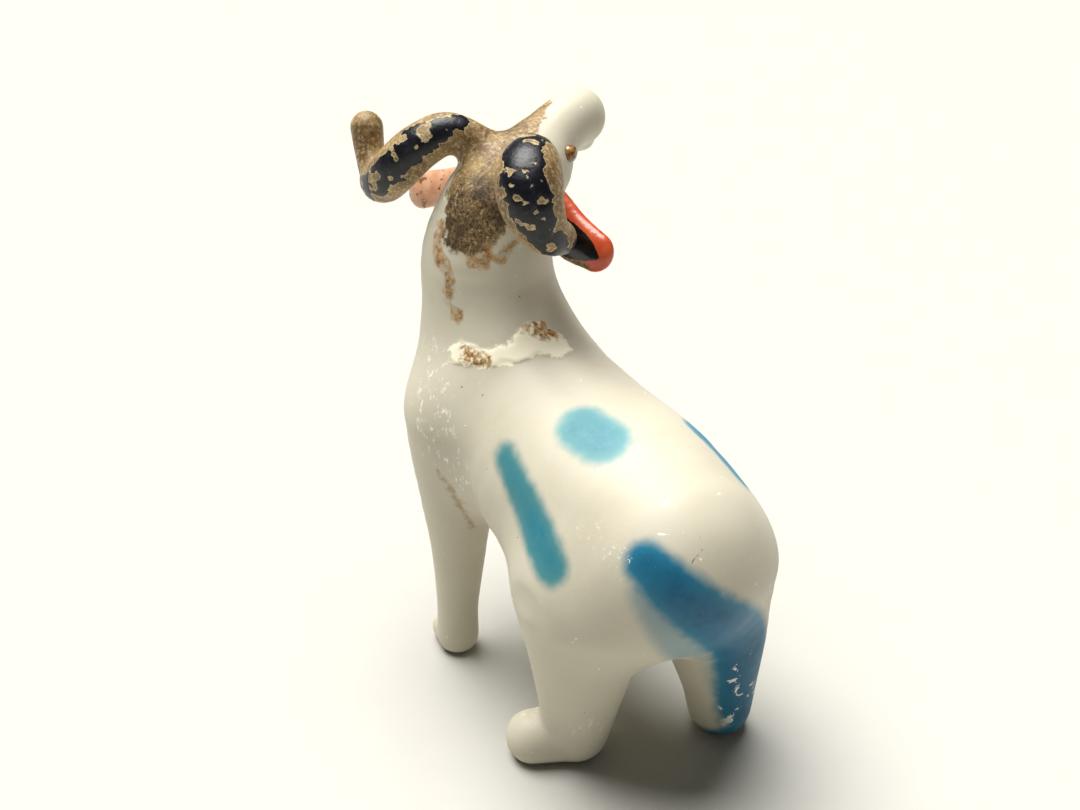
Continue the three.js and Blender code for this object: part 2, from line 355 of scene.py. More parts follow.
# ---------------------------------------------------------------- marks on the glass (mm)
# Strokes of paint, wear, dirt and painted shade, as stations on the body or on the head.
MARK_STATIONS = {
    # Gold paint over the back of the head and the top of the neck, and down the forehead.
    "gilt": [on_body([(5.0, -18.6, 62.8, 3.8), (4.0, -18.2, 66.5, 5.0), (-1.5, -20.5, 69, 5.0)]),
             on_head([(0, 0, 4.6, 2.8), (4, 1.4, 5.2, 2.6), (8.6, 2.0, 5.4, 1.8), (11.0, 1.8, 5.8, 0.9)])],
    # Painted shade under the left horn's arch, over the gold of the head and neck, with black paint
    # splotches in it.
    "shade_and_soot": [on_body([(6.8, -19.4, 61.4, 3.2), (6.4, -18.7, 65.0, 4.4), (2.4, -16.6, 65.4, 3.6)]),
             on_head([(2.0, 2.0, 5.5, 1.0), (8.6, 2.8, 5.2, 0.8)])],
    # Brown stains down the back of the neck.
    "stain": [on_body([(7.9, -21.7, 62.0, 0.8), (8.8, -21.0, 59.3, 1.1), (8.8, -18.6, 56.8, 0.9),
                       (8.9, -17.7, 53.6, 0.6), (8.3, -16.3, 51.9, 0.8)]),
              on_body([(5.2, -16.6, 62.3, 0.9), (5.3, -15.5, 59.8, 1.3), (6.4, -16.2, 58.8, 0.9)]),
              on_body([(3.4, -14.4, 59.4, 0.7), (2.1, -14.4, 60.6, 0.7), (1.1, -14.4, 61.3, 0.3)])],
    # Cream crust round the root of the neck, and the brown part of it.
    "crust": [on_body([(9.6, -13.9, 47.9, 1.5), (8.3, -11.3, 48.0, 1.2), (6.0, -9.4, 48.6, 1.3),
                       (3.7, -8.6, 49.0, 1.6), (1.4, -9.0, 49.9, 2.3), (-0.6, -7.4, 49.2, 2.2)])],
    "rust": [on_body([(9.0, -12.8, 48.0, 1.1), (7.8, -10.6, 47.6, 0.9)]),
             on_body([(1.9, -11.0, 51.4, 1.3), (-0.6, -9.2, 50.8, 1.7)])],
    # Dirt in the crease behind the front left leg.
    "dirt": [on_body([(13.9, -12.0, 33.0, 0.1), (13.5, -10.5, 29.7, 0.5), (12.4, -10.0, 26.3, 0.4),
                      (10.8, -9.6, 22.9, 0.2)])],
    # A hair-fine scratch on the rump.
    "scratch": [on_body([(0.8, 24.9, 39.8, 0.02), (1.2, 25.6, 38.8, 0.06), (2.4, 26.1, 38.2, 0.06),
                         (3.5, 26.9, 36.4, 0.02)])],
    # Rubbed places where white flecks gather.
    "rubbed": [on_body([(9.5, -18.0, 46, 3.0), (13.5, -13.0, 39, 3.5), (13.0, -8.0, 33, 3.0)]),
               on_body([(8.8, 17.0, 38.5, 1.5), (8.0, 24.0, 37.5, 1.2)]),
               on_body([(-8.0, 25.5, 16, 2.0), (-10.0, 23.0, 6, 2.5)]),
               on_body([(13.0, 8.0, 6.0, 2.0), (9.5, 16.5, 9.0, 2.0)])],
    # The leaf of black brushed on the right ear, and the gold along the ear's lower edge.
    "leaf": [on_head([(-0.8, -7.6, -4.6, 2.4), (-1.2, -10.0, -5.0, 2.2), (-1.3, -12.4, -5.4, 1.5),
                      (-1.2, -14.8, -6.1, 0.25)])],
    "ear_gold": [on_head([(-2.3, -9.4, -7.0, 1.0), (-2.2, -11.2, -7.4, 1.0), (-2.2, -12.8, -7.7, 0.7)]),
                 on_head([(2.4, -4.6, 0.6, 1.6), (2.4, -6.4, -0.8, 1.0)])],
    "ear_brown": [on_head([(2.6, -7.4, -1.6, 0.9), (2.4, -8.8, -2.4, 0.8)])],
}
# A paler branch of the blue on the rump, and where the blue runs under the hind right foot.
SIDE_BRANCH = on_body([(8.6, 25.0, 35.0, 1.4), (6.4, 27.4, 30.0, 2.2), (1.0, 26.4, 22.6, 2.6),
                       (-3.4, 24.2, 15.6, 2.4), (-6.4, 23.8, 9.6, 1.6)])
SOLE_BRANCH = on_body([(-10.6, 23.0, 3.0, 1.6), (-7.6, 22.4, 1.4, 1.3), (-6.0, 20.0, 1.1, 0.9)])
SURFACE_MARKS = ("stain", "dirt", "scratch")
STROKE_STEPS = 4
ENAMEL_WIDTH = 0.62       # half-width of the enamel line, as a share of the horn's radius
CREST_LEAN = 0.35         # how far that line leans up and back from the curl's outside
ENAMEL_FADE = 1.1         # mm past the line's edge over which the enamel's hold falls by 1
ENAMEL_HOLD = (-2.0, 0.28)     # the least and the most hold, before the flakes
FLAKE_SIZE = 1.6
FLAKE_SHIFT = 7.0         # takes the flakes from another stretch of the noise
FRACTAL = (1.0, 2.0)      # how fast the noise's octaves fade, and the step in scale between them
# Where the enamel runs: the horn, its first and last stations, and the line's lean aside.
CRESTS = [("left_horn", 2, 7, 0.0), ("right_horn", 1, 6, -0.45)]
# The glass's own slow unevenness.
DRIFT_SIZE, DRIFT_HEIGHT = 9.0, 0.10
# Each coat's height, how far past its edge it begins, and the width over which it rises (mm).
CRUST_HEIGHT, CRUST_START, CRUST_RISE = 0.22, 0.1, 0.5
GILT_HEIGHT, GILT_START, GILT_RISE = 0.05, 0.2, 0.6
DIRT_DEPTH, DIRT_START = 0.06, 0.6
ENAMEL_HEIGHT = 0.06
ENAMEL_STEEPNESS = 3      # how steeply the enamel rises where its hold begins
HORN_REACH = 0.25         # enamel stands proud only this close to a horn's own surface
RAGGED = 0.5              # how far the flakes shift the edge of a coat


def stroke_distance(points, strokes):
    """Signed distance (mm) from each point to the closest of the strokes."""
    x, y, z = points.astype(np.float32).T
    return np.min([Gather(chain(s, STROKE_STEPS)).distance(x, y, z) for s in strokes], axis=0)


def turbulence(points, size, octaves=3, shift=0.0):
    """Smooth noise at each point, about -1 to 1."""
    step = Vector((shift, 0, 0))
    return np.array([noise.fractal(Vector(p) + step, *FRACTAL, octaves) for p in points / size])


def smoothstep(x):
    x = np.clip(x, 0, 1)
    return x * x * (3 - 2 * x)


def horn_crest(name, first, last, aside):
    """The enamel line along the outside of a horn's curl, between two of its stations."""
    lean = CREST_LEAN * (HEAD_UP - HEAD_FORWARD) + aside * HEAD_LEFT
    stations = on_head(HEAD_STATIONS[name])
    middle = stations[1:-1, :3].mean(0)
    crest = []
    for x, y, z, r in stations[first:last]:
        out = np.array([x, y, z]) - middle
        out += np.linalg.norm(out) * lean
        out /= np.linalg.norm(out)
        crest.append((*(np.array([x, y, z]) + out * r), ENAMEL_WIDTH * r))
    return np.array(crest)


def settled(stations, points):
    """The stations, each moved to the closest of the points."""
    moved = stations.copy()
    for station in moved:
        station[:3] = points[((points - station[:3]) ** 2).sum(1).argmin()]
    return moved


def make_marks(points):
    """Distances (mm) to every mark and where the enamel holds (above 0), and the flakes' noise."""
    marks = {}
    for name, strokes in MARK_STATIONS.items():
        if name in SURFACE_MARKS:
            strokes = [settled(stations, points) for stations in strokes]
        marks[name] = stroke_distance(points, strokes)
    flakes = turbulence(points, FLAKE_SIZE, shift=FLAKE_SHIFT)
    across = stroke_distance(points, [horn_crest(*crest) for crest in CRESTS])
    marks["enamel"] = np.clip(-across / ENAMEL_FADE, *ENAMEL_HOLD) + flakes
    marks["branch"] = stroke_distance(points, [SIDE_BRANCH])
    return marks, flakes


def relief(points, marks, flakes):
    """How far (mm) the surface stands proud of the smooth melt."""
    high = DRIFT_HEIGHT * turbulence(points, DRIFT_SIZE, 2)
    ragged = RAGGED * flakes
    high += CRUST_HEIGHT * smoothstep((CRUST_START - marks["crust"] + ragged) / CRUST_RISE)
    painted = smoothstep((GILT_START - marks["gilt"] + ragged) / GILT_RISE)
    high += GILT_HEIGHT * painted * (1 + flakes)
    high -= DIRT_DEPTH * smoothstep(DIRT_START - marks["dirt"])
    return high


def enamel_relief(points, marks):
    """How far (mm) the enamel stands proud of the horns."""
    x, y, z = points.astype(np.float32).T
    horns = np.minimum(*(GATHERS[name].distance(x, y, z) for name in ("left_horn", "right_horn")))
    held = smoothstep(marks["enamel"] * ENAMEL_STEEPNESS + 0.5)
    return ENAMEL_HEIGHT * held * (horns < HORN_REACH)


skin = Skin()
marks, flakes = make_marks(skin.points)
skin.lift(relief(skin.points, marks, flakes) + enamel_relief(skin.points, marks))


# ---------------------------------------------------------------- the skin divided into pieces
HOSTS = list(GATHERS)
INK_HOSTS = {
    "blue_spot_back": ("body",),
    "blue_streak_left_flank": ("body", "hind_left_leg"),
    "blue_patch_right_flank": ("body", "hind_right_leg"),
    "blue_streak_rump": ("body", "hind_left_leg", "hind_right_leg"),
}
INK_RIM = 1.1             # how far a blue piece reaches past its stroke, to where its colour has faded out
INK_DEPTH = 1.2           # how deep a lens of blue goes, and how far from its rim it gets there
INK_SLOPE = 1.6
INK_CLEARANCE = 0.06      # between a lens and its pocket
EDGE_DEPTH = 0.3          # a lens is at least this share of the clearance thick
CAP_RINGS = (0.2, 0.45, 0.7, 0.9)     # how far in each ring of a seam's cone lies
SEAM_FADE = 2.5           # mm from a seam to where light goes into the glass in full
STRAY_ROUNDS = 6          # rounds of giving stray faces to their neighbours' gather
OWN_VOTE = 1.5            # what a face's own gather counts for in them


def nearest(points, targets):
    """Distance from each point to the closest of the targets."""
    tree = kdtree.KDTree(len(targets))
    for i, target in enumerate(targets):
        tree.insert(Vector(target), i)
    tree.balance()
    return np.array([tree.find(Vector(p))[2] for p in points])


def groups_of(pairs, count):
    """A group number for each of count things, the same where pairs join them."""
    group = np.arange(count)
    while True:
        before = group.copy()
        low = np.minimum(group[pairs[:, 0]], group[pairs[:, 1]])
        np.minimum.at(group, pairs[:, 0], low)
        np.minimum.at(group, pairs[:, 1], low)
        group = group[group]
        if (before == group).all():
            return group


class Division:
    """Divides the skin into closed pieces, one to each gather and one to each stroke of blue."""

    def __init__(self):
        self.points, self.normals, self.quads = skin.points, skin.normals, skin.quads
        self.pairs = self.face_pairs()
        centres = self.points[self.quads].mean(1).astype(np.float32)
        self.host = self.smoothed(np.argmin([GATHERS[name].distance(*centres.T) for name in HOSTS], axis=0))
        self.ink_faces = {name: self.ink_patch(name) for name in INKS}
        self.dig_pockets()
        marks["seam"] = smoothstep(nearest(self.points, self.points[self.seams()]) / SEAM_FADE)

    def dig_pockets(self):
        """How deep each point's pocket goes, its clearance, and which points are on a pocket's rim."""
        self.depth = np.zeros(len(self.points))
        self.pocket = np.zeros(len(self.points))
        self.on_rim = np.zeros(len(self.points), bool)
        for faces in self.ink_faces.values():
            rim = np.unique(self.edge_of(faces))
            inside = np.setdiff1d(self.quads[faces], rim)
            self.pocket[inside] = INK_CLEARANCE
            self.on_rim[rim] = True
            from_rim = nearest(self.points[inside], self.points[rim])
            depth = INK_DEPTH * smoothstep(from_rim / INK_SLOPE)
            self.depth[inside] = np.maximum(self.depth[inside], depth)

    def seams(self):
        """The points where one piece meets another."""
        edges = [self.edge_of(self.host == h).ravel() for h in range(len(HOSTS))]
        edges += [self.edge_of(faces).ravel() for faces in self.ink_faces.values()]
        return np.unique(np.concatenate(edges))

    def face_pairs(self):
        """Each pair of faces that share an edge."""
        edges = np.concatenate([self.quads[:, (i, (i + 1) % 4)] for i in range(4)])
        face = np.tile(np.arange(len(self.quads)), 4)
        key = np.sort(edges, axis=1) @ np.array([len(self.points), 1])
        order = np.argsort(key, kind="stable")
        same = key[order][1:] == key[order][:-1]
        return np.stack([face[order][:-1][same], face[order][1:][same]], 1)

    def smoothed(self, label):
        """Gives stray faces to the gather most of their neighbours belong to."""
        for _ in range(STRAY_ROUNDS):
            votes = np.zeros((len(label), len(HOSTS)))
            np.add.at(votes, (self.pairs[:, 0], label[self.pairs[:, 1]]), 1)
            np.add.at(votes, (self.pairs[:, 1], label[self.pairs[:, 0]]), 1)
            votes[np.arange(len(label)), label] += OWN_VOTE
            label = votes.argmax(1)
        return label

    def ink_patch(self, name):
        """The faces of one stroke of blue: the largest connected patch near its line."""
        gather = INKS[name]
        if name == "blue_streak_rump":
            gather = Gather(*gather.chains, chain(SOLE_BRANCH, STROKE_STEPS))
        near = gather.distance(*self.points.astype(np.float32).T)
        marks["ink_" + name] = near
        if name == "blue_streak_rump":
            near = np.minimum(near, marks["branch"])
        allowed = np.isin(self.host, [HOSTS.index(h) for h in INK_HOSTS[name]])
        faces = (near[self.quads].max(1) < INK_RIM) & allowed
        joined = self.pairs[faces[self.pairs].all(1)]
        group = groups_of(joined, len(faces))
        ids, count = np.unique(group[faces], return_counts=True)
        faces &= group == ids[count.argmax()]
        return self.trimmed(faces)

    def trimmed(self, faces):
        """Drops the faces that have all their corners on the patch's own edge."""
        while True:
            rim = np.zeros(len(self.points), bool)
            rim[self.edge_of(faces)] = True
            stray = faces & rim[self.quads].all(1)
            if not stray.any():
                return faces
            faces = faces & ~stray

    def edge_of(self, faces):
        """Directed edges of these faces that no other of them shares."""
        quads = self.quads[faces]
        edges = np.concatenate([quads[:, (i, (i + 1) % 4)] for i in range(4)])
        size = len(self.points)
        there, back = edges @ np.array([size, 1]), edges @ np.array([1, size])
        return edges[~np.isin(there, back)]

    def loops_of(self, faces):
        """The edge loops of these faces, one array of directed edges to each."""
        edges = self.edge_of(faces)
        ids, flat = np.unique(edges, return_inverse=True)
        group = groups_of(flat.reshape(edges.shape), len(ids))
        start = group[flat.reshape(edges.shape)[:, 0]]
        return [edges[start == g] for g in np.unique(start)]

    def host_piece(self, name):
        """A gather's share of the skin, closed inside by cones to the middle of each edge loop."""
        faces = self.host == HOSTS.index(name)
        points = self.points - self.normals * (self.depth + self.pocket)[:, None]
        used = np.unique(self.quads[faces])
        shape = Shape(used, points[used], self.quads[faces])
        shape.polygons = [part for quad in shape.polygons for part in self.folded(quad, used)]
        for loop in self.loops_of(faces):
            shape.close(loop, points)
        return shape

    def folded(self, quad, used):
        """Splits a quad that has one corner off a pocket's rim, so that no half of it stays flush."""
        off_rim = [i for i in range(4) if not self.on_rim[used[quad[i]]]]
        if len(off_rim) != 1:
            return [quad]
        a, b, c, d = quad[off_rim[0]:] + quad[:off_rim[0]]
        return [[a, b, c], [a, c, d]]

    def ink_piece(self, name):
        """A lens of blue glass: the skin above, and the bottom of its pocket below."""
        faces = self.ink_faces[name]
        used = np.unique(self.quads[faces])
        rim = np.unique(self.edge_of(faces))
        shape = Shape(used, self.points[used], self.quads[faces])
        thick = np.maximum(self.depth, EDGE_DEPTH * INK_CLEARANCE)
        under = self.points - self.normals * thick[:, None]
        polygons = [part for quad in shape.polygons for part in self.folded(quad, used)]
        shape.back(polygons, under, np.setdiff1d(used, rim))
        return shape


class Shape:
    """The points and polygons of one piece. The skin's own points come first."""

    def __init__(self, used, points, quads):
        self.used = used
        self.index = {v: i for i, v in enumerate(used)}
        self.points = points.tolist()
        self.polygons = np.searchsorted(used, quads).tolist()

    def close(self, loop, points):
        """Closes one edge loop with a cone of rings."""
        ring = np.unique(loop)
        middle = points[ring].mean(0)
        near = {v: self.index[v] for v in ring}
        for share in CAP_RINGS:
            far = {v: len(self.points) + i for i, v in enumerate(ring)}
            self.points += (points[ring] * (1 - share) + middle * share).tolist()
            self.polygons += [[near[b], near[a], far[a], far[b]] for a, b in loop]
            near = far
        apex = len(self.points)
        self.points.append(middle.tolist())
        self.polygons += [[near[b], near[a], apex] for a, b in loop]

    def back(self, polygons, points, inner):
        """Adds the underside of a lens, which shares only the rim."""
        under = {i: i for i in range(len(self.used))}
        under.update({self.index[v]: len(self.points) + i for i, v in enumerate(inner)})
        self.points += points[inner].tolist()
        self.polygons += [[under[i] for i in polygon[::-1]] for polygon in polygons]


def add_marks(mesh, shape, node):
    """Puts every mark's value at each point of the skin on the mesh, for its material."""
    for mark, values in marks.items():
        if mark.startswith("ink_") and mark != "ink_" + node:
            continue
        data = np.zeros(len(shape.points), np.float32)
        data[:len(shape.used)] = values[shape.used]
        label = "ink" if mark.startswith("ink_") else mark
        mesh.attributes.new(label, "FLOAT", "POINT").data.foreach_set("value", data)


def set_normals(mesh, shape, node):
    """Gives the mesh the whole skin's normals, so that no seam shows. A zero is worked out afresh."""
    normals = np.zeros((len(shape.points), 3))
    normals[:len(shape.used)] = skin.normals[shape.used]
    if not node.startswith("blue_"):
        normals[:len(shape.used)][division.depth[shape.used] > 0] = 0
    mesh.normals_split_custom_set_from_vertices(normals.tolist())


def add_piece(name, shape, material, node):
    mesh = bpy.data.meshes.new(name)
    mesh.from_pydata((np.array(shape.points) * MM).tolist(), [], shape.polygons)
    mesh.polygons.foreach_set("use_smooth", [True] * len(mesh.polygons))
    add_marks(mesh, shape, node)
    set_normals(mesh, shape, node)
    mesh.materials.append(material)
    piece = bpy.data.objects.new(name, mesh)
    bpy.context.scene.collection.objects.link(piece)
    declare(piece, node)


def declare(piece, node):
    """Attaches the piece to the root body and hides the CAD node it stands in for."""
    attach(piece, "root")
    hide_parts(node)


division = Division()


# ---------------------------------------------------------------- materials
def tone(red, green, blue):
    """A colour from its everyday 0-255 values."""
    shares = [c / 255 for c in (red, green, blue)]
    linear = [s / 12.92 if s <= 0.04045 else ((s + 0.055) / 1.055) ** 2.4 for s in shares]
    return (*linear, 1.0)


class Finish:
    """A material and short ways to add nodes to it."""

    def __init__(self, name, **constants):
        self.material = bpy.data.materials.new(name)
        self.material.use_nodes = True
        self.tree = self.material.node_tree
        self.surface = self.tree.nodes["Principled BSDF"]
        self.place = self.tree.nodes.new("ShaderNodeTexCoord").outputs["Object"]
        for socket, value in constants.items():
            self.surface.inputs[socket.replace("_", " ")].default_value = value

    def add(self, kind, inputs, **settings):
        node = self.tree.nodes.new(kind)
        for key, value in settings.items():
            setattr(node, key, value)
        for key, value in inputs.items():
            self.feed(node.inputs[key], value)
        return node

    def feed(self, socket, value):
        if isinstance(value, bpy.types.NodeSocket):
            self.tree.links.new(value, socket)
        else:
            socket.default_value = value

    def mark(self, name):
        return self.add("ShaderNodeAttribute", {}, attribute_name=name).outputs["Fac"]

    def noise(self, size, detail=4.0, roughness=0.55, distortion=0.0, stretch=1.0):
        """Noise from 0 to 1 whose grain has this size (mm), drawn out upwards by the stretch."""
        place = self.place
        if stretch != 1.0:
            scale = (1.0, 1.0, 1 / stretch)
            place = self.add("ShaderNodeMapping", {"Vector": place, "Scale": scale}).outputs[0]
        node = self.add("ShaderNodeTexNoise", {"Vector": place, "Scale": 1 / (size * MM), "Detail": detail,
                                               "Roughness": roughness, "Distortion": distortion})
        return node.outputs["Fac"]

    def math(self, operation, a, b):
        return self.add("ShaderNodeMath", {0: a, 1: b}, operation=operation).outputs[0]

    def times(self, a, b):
        return self.math("MULTIPLY", a, b)

    def plus(self, a, b):
        return self.math("ADD", a, b)

    def wander(self, reach, *noise):
        """Noise of these settings about 0, from -reach / 2 to reach / 2."""
        return self.times(self.math("SUBTRACT", self.noise(*noise), 0.5), reach)

    def fade(self, value, low, high):
        """0 where value is low, 1 where it is high."""
        node = self.add("ShaderNodeMapRange", {"Value": value, "From Min": low, "From Max": high},
                        interpolation_type="SMOOTHSTEP")
        return node.outputs["Result"]

    def inside(self, name, ragged=0.0, size=0.6, soft=0.15):
        """1 inside a mark, 0 outside, its edge broken up by noise of the given size."""
        distance = self.mark(name)
        if ragged:
            distance = self.plus(distance, self.wander(2 * ragged, size, 5))
        return self.fade(distance, soft, -soft)

    def mix(self, factor, a, b):
        node = self.add("ShaderNodeMix", {0: factor, 6: a, 7: b}, data_type="RGBA")
        return node.outputs[2]

    def mix_value(self, factor, a, b):
        return self.add("ShaderNodeMix", {0: factor, 2: a, 3: b}, data_type="FLOAT").outputs[0]

    def finish(self, colour, roughness, height, strength):
        """Gives the surface its colour, roughness and bumps, and returns the material."""
        self.feed(self.surface.inputs["Base Color"], colour)
        self.feed(self.surface.inputs["Roughness"], roughness)
        bump = self.add("ShaderNodeBump",
                        {"Strength": strength, "Distance": BUMP_DEPTH * MM, "Height": height})
        self.feed(self.surface.inputs["Normal"], bump.outputs["Normal"])
        return self.material


BUMP_DEPTH = 0.2          # mm
GLASS_IOR = 1.45
GLASS_BUMP = 0.10

MILK = tone(214, 209, 192)
MILK_WARM = tone(201, 194, 170)
MILK_CLOUD = tone(208, 202, 183)
SPECK = tone(96, 82, 62)
CHIP = tone(250, 247, 236)
STAIN_PALE = tone(186, 152, 100)
RUST = tone(136, 90, 44)
RUST_PALE = tone(180, 142, 88)
CRUST = tone(255, 246, 220)
DIRT = tone(160, 122, 66)
SCRATCH = tone(128, 112, 92)
# The painted shade under the left horn's arch, and the black paint splotches in it.
PAINTED_SHADE_WASH = tone(84, 64, 40)
SOOT = tone(46, 34, 24)
GOLD = tone(158, 130, 84)
GOLD_DARK = tone(112, 84, 48)
GOLD_BURNT = tone(78, 54, 30)
CREAM = tone(226, 208, 164)
ENAMEL = tone(14, 15, 24)
ENAMEL_WORN = tone(42, 45, 56)
BLUE_HAZE = tone(92, 142, 160)
EAR_BROWN = tone(128, 48, 28)
LEAF_BLACK = tone(12, 11, 14)
AMBER_DARK = tone(78, 46, 20)
AMBER = tone(168, 124, 62)
PAPER = tone(192, 191, 185)
PAPER_DARK = tone(188, 187, 181)
# The deep and the thin colour of each stroke of blue, and how softly (mm) its edge fades.
BLUES = {
    "blue_spot_back": ("blue_spot", tone(66, 140, 154), tone(100, 162, 168), 1.0),
    "blue_streak_left_flank": ("blue_flank", tone(30, 122, 144), tone(72, 138, 144), 0.9),
    "blue_patch_right_flank": ("blue_patch", tone(30, 110, 150), tone(60, 140, 170), 0.7),
    "blue_streak_rump": ("blue_rump", tone(5, 92, 132), tone(34, 124, 154), 0.9),
}
# The two colours of each ear's glass, the colour of its blotches, and how much they cover.
EARS = {
    "left_ear": ("ear_peach", tone(212, 170, 142), tone(200, 146, 112), tone(122, 82, 54), 0.42),
    "right_ear": ("ear_orange", tone(208, 92, 52), tone(196, 74, 40), tone(140, 52, 30), 0.30),
}


def gold_paint(finish):
    """Old gold paint: mottled darker and lighter by noise, with burnt spots, and cream showing where it has
    gone.
    """
    patch = finish.fade(finish.noise(2.6, 5, 0.6), 0.38, 0.64)
    grain = finish.noise(0.5, 6, 0.7)
    colour = finish.mix(patch, GOLD_DARK, GOLD)
    colour = finish.mix(finish.fade(grain, 0.45, 0.8), colour, CREAM)
    burnt = finish.fade(finish.noise(0.9, 6, 0.7, 0.4), 0.60, 0.66)
    return finish.mix(burnt, colour, GOLD_BURNT)


def bare_milk(finish):
    """Clouded white glass with small dark specks."""
    colour = finish.mix(finish.noise(7.0, 3), MILK_WARM, MILK)
    colour = finish.mix(finish.fade(finish.noise(0.7, 3), 0.35, 0.75), colour, MILK_CLOUD)
    specks = finish.fade(finish.noise(0.9, 2, 0.5), 0.775, 0.80)
    return finish.mix(specks, colour, SPECK)


def chipped(finish, colour, worn):
    """White flecks where the glass is rubbed, and a few stray ones elsewhere."""
    colour = finish.mix(worn, colour, CHIP)
    stray = finish.fade(finish.noise(2.1, 5, 0.6, 0.8), 0.69, 0.71)
    return finish.mix(stray, colour, CHIP)


def stained(finish, colour):
    """Brown stains, thin where they are broken up."""
    stain = finish.inside("stain", 1.5, 1.6, 0.35)
    broken = finish.fade(finish.noise(1.0, 6, 0.7), 0.40, 0.56)
    brown = finish.mix(finish.fade(finish.noise(0.8, 5, 0.7), 0.4, 0.62), STAIN_PALE, RUST)
    cover = finish.times(stain, finish.plus(0.4, finish.times(broken, 0.6)))
    return finish.mix(cover, colour, brown)


def crusted(finish, colour, crust):
    """Cream crust, rusty in places."""
    rust = finish.inside("rust", 1.2, 0.9, 0.5)
    rusty = finish.times(rust, finish.fade(finish.noise(0.7, 6, 0.7), 0.36, 0.56))
    cream = finish.mix(rusty, CRUST, RUST_PALE)
    grains = finish.fade(finish.noise(0.5, 5), 0.50, 0.60)
    return finish.mix(crust, colour, finish.mix(finish.times(rusty, grains), cream, RUST))


def soiled(finish, colour):
    """Dirt in the crease of the leg, and the scratch."""
    dirt = finish.inside("dirt", 1.5, 1.1, 0.5)
    colour = finish.mix(finish.times(dirt, 0.6), colour, DIRT)
    return finish.mix(finish.inside("scratch", 0.04, 0.5, 0.06), colour, SCRATCH)


def gilded(finish, colour, gilt):
    """Gold paint, darkened by painted shade under the left horn's arch, with black paint splotches in it.
    """
    colour = finish.mix(gilt, colour, gold_paint(finish))
    shade_and_soot = finish.times(finish.inside("shade_and_soot", 2.2, 2.4, 1.4), gilt)
    # Painted shade: a broad dark wash under the horn's arch; the grains below are black paint splotches.
    painted_shade = finish.times(shade_and_soot, finish.fade(finish.noise(2.4, 5, 0.7), 0.35, 0.6))
    grains = finish.times(shade_and_soot, finish.fade(finish.noise(0.3, 6, 0.8), 0.46, 0.60))
    return finish.mix(grains, finish.mix(painted_shade, colour, PAINTED_SHADE_WASH), SOOT)


def milk_glass(finish):
    """White glass and all that is brushed, rubbed or spilt on it, with painted shade under the left horn's
    arch: its colour, roughness and height.
    """
    rubbed = finish.inside("rubbed", 1.5, 2.0, 1.5)
    worn = finish.times(rubbed, finish.fade(finish.noise(0.9, 6, 0.72, 0.2, 1.8), 0.55, 0.63))
    crust = finish.inside("crust", 1.3, 1.1, 0.12)
    gilt = finish.inside("gilt", 2.2, 1.7, 0.35)
    colour = chipped(finish, bare_milk(finish), worn)
    colour = crusted(finish, stained(finish, colour), crust)
    colour = gilded(finish, soiled(finish, colour), gilt)
    roughness = finish.mix_value(gilt, 0.50, 0.55)
    roughness = finish.mix_value(crust, roughness, 0.8)
    roughness = finish.mix_value(worn, roughness, 0.6)
    height = finish.plus(finish.noise(0.35, 4, 0.6), finish.times(gilt, 0.4))
    height = finish.plus(height, finish.times(crust, 0.9))
    return colour, roughness, height


def set_scatter(finish, radius, scale):
    """How far red, green and blue light travel under the surface, and the scale (mm) of that."""
    finish.surface.inputs["Subsurface Radius"].default_value = radius
    finish.surface.inputs["Subsurface Scale"].default_value = scale * MM


def translucent(finish):
    """Lets light into the glass, less and less towards the seams, so that no seam shows."""
    set_scatter(finish, (1.0, 0.85, 0.6), 1.6)
    finish.feed(finish.surface.inputs["Subsurface Weight"], finish.times(finish.mark("seam"), 0.3))


def white_glass():
    finish = Finish("white_glass", IOR=GLASS_IOR)
    translucent(finish)
    return finish.finish(*milk_glass(finish), GLASS_BUMP)


def blue_glass(name, deep, thin, edge):
    """Blue rod melted into the white: deep in the middle of its stroke, thinning out at its edge."""
    finish = Finish(name, IOR=GLASS_IOR)
    translucent(finish)
    colour, roughness, height = milk_glass(finish)
    wander = finish.wander(0.9, 1.6, 4)
    distance = finish.plus(finish.mark("ink"), wander)
    strong = finish.fade(distance, edge, -edge)
    core = finish.fade(distance, -0.2, -2.2)
    cloud = finish.fade(finish.noise(3.0, 5, 0.6), 0.35, 0.7)
    ink = finish.mix(finish.times(core, finish.plus(0.6, finish.times(cloud, 0.4))), thin, deep)
    grain = finish.fade(finish.noise(0.5, 5, 0.75), 0.35, 0.75)
    ink = finish.mix(finish.times(grain, 0.35), ink, thin)
    if name == "blue_rump":
        haze = finish.fade(finish.plus(finish.mark("branch"), wander), 1.0, -1.6)
        colour = finish.mix(finish.times(haze, 0.62), colour, BLUE_HAZE)
    flecks = finish.fade(finish.noise(2.2, 5, 0.62, 0.6), 0.585, 0.60)
    chips = finish.times(finish.inside("rubbed", 1.0, 1.5, 1.0), flecks)
    cover = finish.times(strong, finish.math("SUBTRACT", 1.0, chips))
    colour = finish.mix(chips, finish.mix(cover, colour, ink), CHIP)
    return finish.finish(colour, roughness, height, GLASS_BUMP)


def horn_paint():
    """Gold paint under a line of blue-black enamel that has flaked."""
    finish = Finish("horn_paint", IOR=GLASS_IOR)
    hold = finish.plus(finish.mark("enamel"), finish.wander(0.55, 0.35, 5, 0.65))
    enamel = finish.fade(hold, -0.03, 0.03)
    rim = finish.fade(hold, -0.22, -0.02)
    colour = finish.mix(finish.times(rim, 0.55), gold_paint(finish), CREAM)
    worn = finish.fade(finish.noise(1.2, 5, 0.6), 0.5, 0.72)
    colour = finish.mix(enamel, colour, finish.mix(worn, ENAMEL, ENAMEL_WORN))
    roughness = finish.mix_value(enamel, 0.5, 0.34)
    height = finish.plus(finish.noise(0.4, 5, 0.65), finish.times(enamel, 0.8))
    return finish.finish(colour, roughness, height, 0.3)


